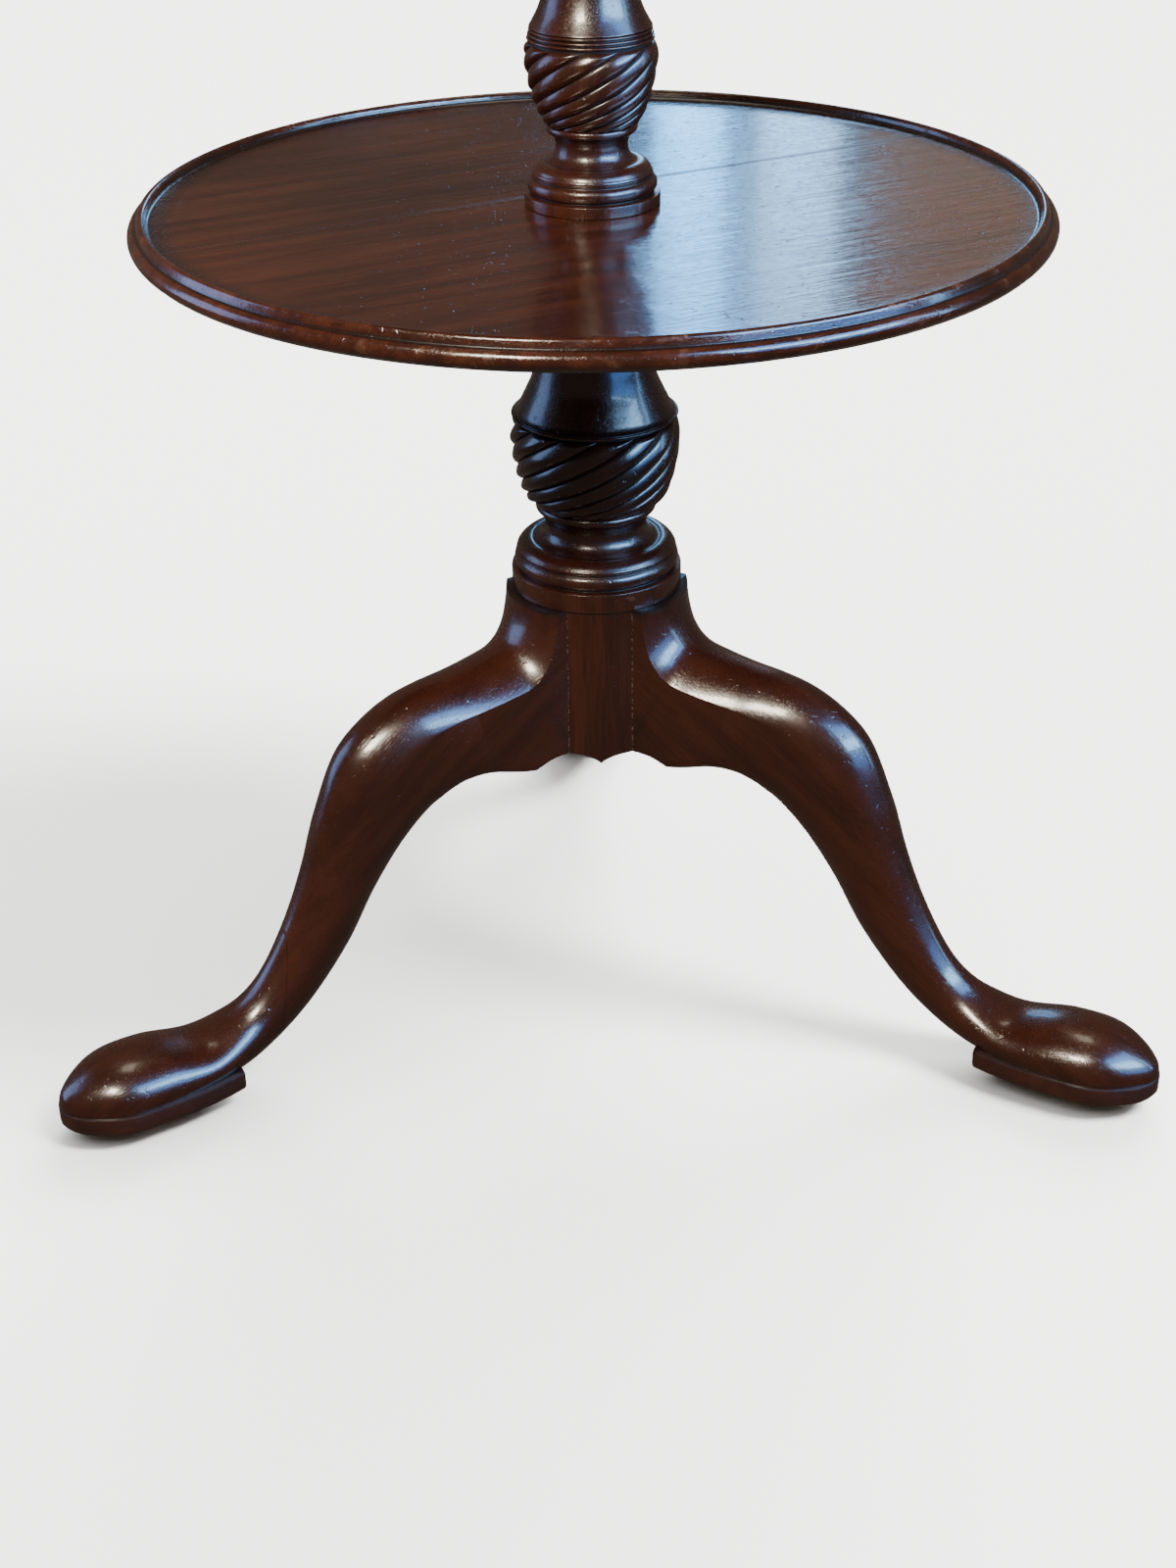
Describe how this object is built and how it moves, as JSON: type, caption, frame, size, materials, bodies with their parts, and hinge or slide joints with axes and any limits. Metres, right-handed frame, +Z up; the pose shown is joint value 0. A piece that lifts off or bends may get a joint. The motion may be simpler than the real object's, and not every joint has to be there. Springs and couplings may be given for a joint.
{
  "type": "dumbwaiter table",
  "caption": "Dumbwaiter table: round dished trays that turn on a turned, spirally reeded pillar with a tripod of cabriole legs and hidden castors.",
  "frame": {"origin": "on the pillar's axis, at floor level between the feet", "axes": "+Z up along the pillar; one leg points along +Y (the back), the other two at 30 degrees below -X and +X; the picture looks from -Y"},
  "size_m": [0.7092, 0.6863, 1.0955],
  "materials": {
    "mahogany": "gloss",
    "brass": "satin",
    "wrought_iron": "matte",
    "iron_screws": "satin"
  },
  "bodies": {
    "base": {"pillar_base": "mahogany", "pillar_middle": "mahogany", "pillar_top": "mahogany", "leg_left": "mahogany", "leg_right": "mahogany", "leg_rear": "mahogany", "left_foot_splice": "mahogany", "foot_pad_left": "mahogany", "foot_pad_right": "mahogany", "foot_pad_rear": "mahogany", "spider_plate": "wrought_iron", "spider_screws": "iron_screws", "castor_plate_left": "brass", "castor_plate_right": "brass", "castor_plate_rear": "brass", "castor_screws": "iron_screws"},
    "lower_tray": {"lower_tray_front_board": "mahogany", "lower_tray_back_board": "mahogany", "lower_tray_bearer": "mahogany", "lower_tray_screws": "iron_screws"},
    "middle_tray": {"middle_tray_board": "mahogany", "middle_tray_bearer": "mahogany", "middle_tray_screws": "iron_screws"},
    "top_tray": {"top_tray_board": "mahogany", "top_tray_bearer": "mahogany", "top_tray_screws": "iron_screws"},
    "left_castor_swivel": {"castor_horn_left": "brass", "castor_axle_left": "brass"},
    "left_castor_wheel": {"castor_wheel_left": "brass"},
    "right_castor_swivel": {"castor_horn_right": "brass", "castor_axle_right": "brass"},
    "right_castor_wheel": {"castor_wheel_right": "brass"},
    "rear_castor_swivel": {"castor_horn_rear": "brass", "castor_axle_rear": "brass"},
    "rear_castor_wheel": {"castor_wheel_rear": "brass"}
  },
  "joints": [
    {"name": "lower_tray_turn", "type": "hinge", "parent": "base", "child": "lower_tray", "pos_m": [0, 0, 0.532], "axis": [0, 0, 1], "continuous": true},
    {"name": "middle_tray_turn", "type": "hinge", "parent": "base", "child": "middle_tray", "pos_m": [0, 0, 0.82], "axis": [0, 0, 1], "continuous": true},
    {"name": "top_tray_turn", "type": "hinge", "parent": "base", "child": "top_tray", "pos_m": [0, 0, 1.078], "axis": [0, 0, 1], "continuous": true},
    {"name": "left_castor_turn", "type": "hinge", "parent": "base", "child": "left_castor_swivel", "pos_m": [-0.30224, -0.1745, 0.023], "axis": [0, 0, 1], "continuous": true},
    {"name": "left_castor_roll", "type": "hinge", "parent": "left_castor_swivel", "child": "left_castor_wheel", "pos_m": [-0.2994, -0.18513, 0.009], "axis": [0.9659, 0.2588, 0], "continuous": true},
    {"name": "right_castor_turn", "type": "hinge", "parent": "base", "child": "right_castor_swivel", "pos_m": [0.30224, -0.1745, 0.023], "axis": [0, 0, 1], "continuous": true},
    {"name": "right_castor_roll", "type": "hinge", "parent": "right_castor_swivel", "child": "right_castor_wheel", "pos_m": [0.30224, -0.1855, 0.009], "axis": [1, 0, 0], "continuous": true},
    {"name": "rear_castor_turn", "type": "hinge", "parent": "base", "child": "rear_castor_swivel", "pos_m": [0, 0.349, 0.023], "axis": [0, 0, 1], "continuous": true},
    {"name": "rear_castor_roll", "type": "hinge", "parent": "rear_castor_swivel", "child": "rear_castor_wheel", "pos_m": [-0.00707, 0.34057, 0.009], "axis": [0.766, -0.6428, 0], "continuous": true}
  ]
}
